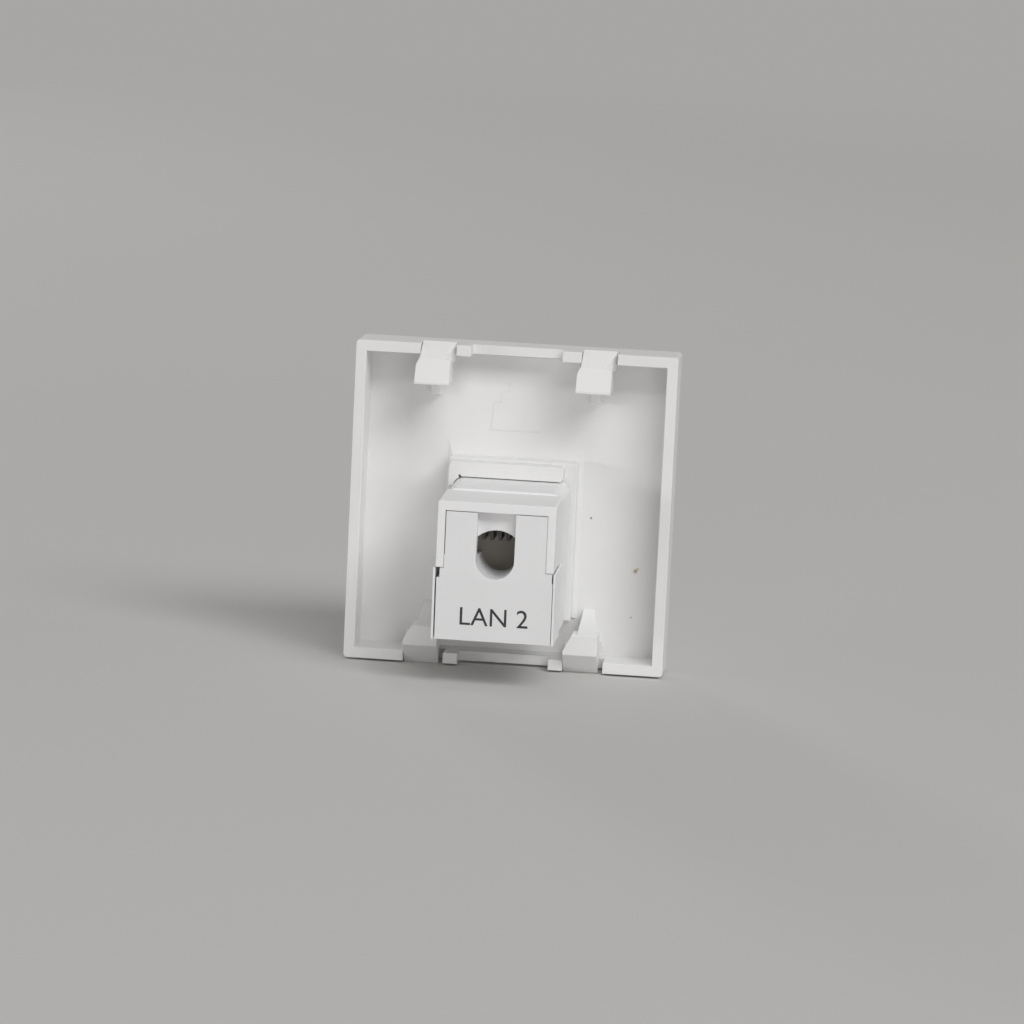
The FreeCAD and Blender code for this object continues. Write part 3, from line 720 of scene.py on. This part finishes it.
# %% Nodes that keep their solids
KEPT = {
    "contact_carrier": carrier_dark.material,
    "idc_block": comb_grey_shaded_teeth.material,
    "circuit_board": board,
    "contact_pin": gilt,
    "idc_blade": tin,
}
for name, node in frame["nodes"].items():
    kind = name.rstrip("_0123456789")
    if kind in KEPT:
        for held in node.material_slots:
            held.link = "OBJECT"
            held.material = KEPT[kind]
        print(name, [held.material.name for held in node.material_slots])

# %% [markdown]
# The studio is a wide floor in a warm pale grey, with a little mottle, so that it doesn't look like a flat
# fill. A lamp's light falls off with distance, which would leave the far floor dark, so the floor's own
# grey gets paler towards the back, along -Y.

# %% Floor
FLOOR_HALF = 8.0
NEAR_GREY = (0.640, 0.628, 0.617)
FAR_GREY = (0.98, 0.962, 0.945)
FLOOR_DRIFT = 1.01
FLOOR_MOTTLE = 6.0
NEAR_Y = 0.0
FAR_Y = -1.6

drifted_grey = tuple(FLOOR_DRIFT * part for part in NEAR_GREY)
floor_grey = plastic(
    "floor_grey",
    tones=(NEAR_GREY, drifted_grey),
    roughness=(0.85, 0.95),
    mottle=FLOOR_MOTTLE,
)
change_along_y(floor_grey, NEAR_Y, FAR_Y, FAR_GREY)

edges = np.array([-FLOOR_HALF, FLOOR_HALF])
floor_points = np.stack(np.broadcast_arrays(edges[None, :], edges[:, None], np.array(cad_low.z)), axis=-1)
floor = bpy.data.objects.new("floor", grid_mesh("floor", floor_points, floor_grey.material))
scene.collection.objects.link(floor)
print("floor at", round(cad_low.z / MM, 2), "mm")

# %% [markdown]
# Farther out a photographer would hang a sheet that sweeps up behind the object. Here the floor fades out
# with distance and the backdrop shows through, so no horizon cuts the picture. The fade works only on the
# rays that draw the picture, and to the lamps the floor stays whole. Near the module it doesn't fade, and
# keeps the shadow.

# %% Fade of the floor
FADE_NEAR = 0.6
FADE_FAR = 1.6


def seen_rays(tree):
    """One for the rays that draw the picture, straight, mirrored or through glass, and zero for others."""
    path = tree.nodes.new("ShaderNodeLightPath")
    seen = path.outputs["Is Camera Ray"]
    for kind in ("Is Glossy Ray", "Is Transmission Ray"):
        either = tree.nodes.new("ShaderNodeMath")
        either.operation = "MAXIMUM"
        tree.links.new(seen, either.inputs[0])
        tree.links.new(path.outputs[kind], either.inputs[1])
        seen = either.outputs["Value"]
    return seen


floor_tree = floor_grey.material.node_tree
away = floor_tree.nodes.new("ShaderNodeVectorMath")
away.operation = "LENGTH"
fade = floor_tree.nodes.new("ShaderNodeMapRange")
fade.interpolation_type = "SMOOTHSTEP"
fade.inputs["From Min"].default_value = FADE_NEAR
fade.inputs["From Max"].default_value = FADE_FAR
shown = floor_tree.nodes.new("ShaderNodeMath")
shown.operation = "MULTIPLY"
clear = floor_tree.nodes.new("ShaderNodeBsdfTransparent")
blend = floor_tree.nodes.new("ShaderNodeMixShader")
floor_tree.links.new(floor_grey.place, away.inputs[0])
floor_tree.links.new(away.outputs["Value"], fade.inputs["Value"])
floor_tree.links.new(fade.outputs["Result"], shown.inputs[0])
floor_tree.links.new(seen_rays(floor_tree), shown.inputs[1])
floor_tree.links.new(shown.outputs["Value"], blend.inputs["Fac"])
floor_tree.links.new(floor_grey.shader.outputs["BSDF"], blend.inputs[1])
floor_tree.links.new(clear.outputs["BSDF"], blend.inputs[2])
floor_tree.links.new(blend.outputs["Shader"], floor_tree.nodes["Material Output"].inputs["Surface"])
print("floor fades from", FADE_NEAR, "to", FADE_FAR, "m")

# %% [markdown]
# The light comes from soft lamps. The key stands high on the right of the camera and draws the shadows in
# the tray. A weaker one of the same size, nearer the camera, softens them. Two low strips, one near the
# camera and one on the left, keep the lower clips and the undersides from going dark. A fifth lamp, behind
# the module, is for its front face. It stands low and its spread is narrow, which keeps it off the floor.

# %% Lamps
LAMP_DISTANCE = 2.5
WIDE = math.radians(180)
NARROW = math.radians(14)


def lamp(name, toward, size, power, colour, spread=WIDE):
    """An oval area lamp that looks at the module from a direction, given across, out and up."""
    direction = Vector(toward).normalized()
    data = bpy.data.lights.new(name, "AREA")
    data.shape = "ELLIPSE"
    data.size, data.size_y = size
    data.energy = power
    data.color = colour
    data.spread = spread
    item = bpy.data.objects.new(name, data)
    item.location = TARGET + LAMP_DISTANCE * direction
    item.rotation_euler = direction.to_track_quat("Z", "Y").to_euler()
    scene.collection.objects.link(item)
    print("lamp:", name, [round(v, 2) for v in item.location])


lamp("key_lamp", toward=(-1.0, 1.0, 1.1), size=(1.0, 1.0), power=19.0, colour=(0.985, 0.995, 1.0))
lamp("near_fill_lamp", toward=(-0.4, 1.0, 1.1), size=(1.0, 1.0), power=11.2, colour=(0.99, 0.995, 1.0))
lamp("low_near_lamp", toward=(-0.4, 1.0, 0.06), size=(1.0, 0.25), power=4.4, colour=(1.0, 0.99, 0.98))
lamp("low_fill_lamp", toward=(1.4, 1.0, 0.08), size=(1.0, 0.25), power=7.4, colour=(1.0, 0.985, 0.97))
lamp(
    "front_lamp",
    toward=(0.5, -1.0, 0.04),
    size=(0.8, 0.1),
    power=0.25,
    colour=(1.0, 1.0, 1.0),
    spread=NARROW,
)

# %% [markdown]
# A dim sky lights the rest. A studio has no visible sky, so the rays that draw the picture get a backdrop
# in the floor's grey instead, and the two meet without an edge. The Standard view shows the colours as they
# are written.

# %% Sky and backdrop
SKY = (0.281, 0.275, 0.269)
BACKDROP = (0.392, 0.381, 0.373)
world = bpy.data.worlds.new("studio")
scene.world = world
world.use_nodes = True
sky = world.node_tree
sky.links.new(mixed(world, seen_rays(sky), SKY, BACKDROP), sky.nodes["Background"].inputs["Color"])
scene.view_settings.view_transform = "Standard"
print("world:", world.name, "view:", scene.view_settings.view_transform)
